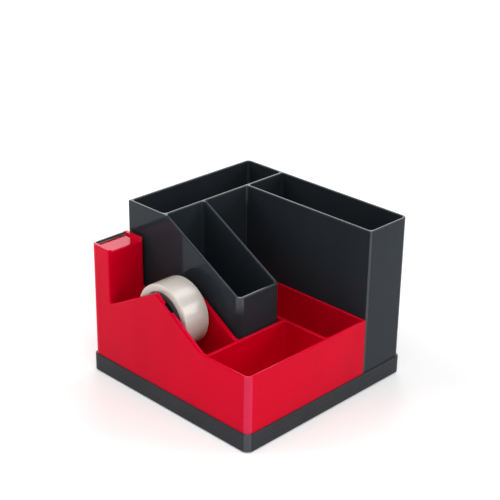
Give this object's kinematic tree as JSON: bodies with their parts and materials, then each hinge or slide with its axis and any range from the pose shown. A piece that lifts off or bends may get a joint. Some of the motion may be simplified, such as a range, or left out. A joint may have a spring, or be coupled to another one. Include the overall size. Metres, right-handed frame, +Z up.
{
  "type": "desk organiser with tape dispenser",
  "caption": "Desk organiser on a square base: two tall bins and a sloped box in dark plastic, and a bright tape dispenser with a cutter tower, a clip tray and a rear compartment.",
  "frame": {"origin": "middle of the square footprint, on the desk under the rubber feet", "axes": "+Z up; -Y is the front, the side of the tape channel; +X is the side of the clip tray; the tall bins stand along -X and +Y"},
  "size_m": [0.128, 0.128, 0.099],
  "materials": {
    "base_plastic": "satin charcoal",
    "bin_plastic": "glossy black",
    "tray_plastic": "glossy red",
    "blade_steel": "ground steel",
    "axle_plastic": "satin dark grey",
    "hub_plastic": "satin black",
    "core_plastic": "satin grey",
    "tape_film": "wound clear film, off-white",
    "foot_rubber": "matt black",
    "screw_steel": "zinc plated"
  },
  "bodies": {
    "organiser": {"base_plate": "base_plastic", "bin_module": "bin_plastic", "tray_module": "tray_plastic", "cutter_blade": "blade_steel", "foot_front_left": "foot_rubber", "foot_front_right": "foot_rubber", "foot_back_left": "foot_rubber", "foot_back_right": "foot_rubber", "screw_bin_1": "screw_steel", "screw_bin_2": "screw_steel", "screw_bin_3": "screw_steel", "screw_bin_4": "screw_steel", "screw_tray_1": "screw_steel", "screw_tray_2": "screw_steel", "screw_tray_3": "screw_steel", "screw_tray_4": "screw_steel"},
    "axle": {"hub_axle": "axle_plastic"},
    "spool": {"tape_hub": "hub_plastic", "tape_core": "core_plastic", "tape_roll": "tape_film"}
  },
  "joints": [
    {"name": "axle_lift", "type": "slide", "parent": "organiser", "child": "axle", "axis": [0.6428, 0, 0.766], "range_m": [0, 0.05]},
    {"name": "spool_spin", "type": "hinge", "parent": "axle", "child": "spool", "pos_m": [-0.0086, -0.04965, 0.0516], "axis": [0, 1, 0], "continuous": true}
  ]
}
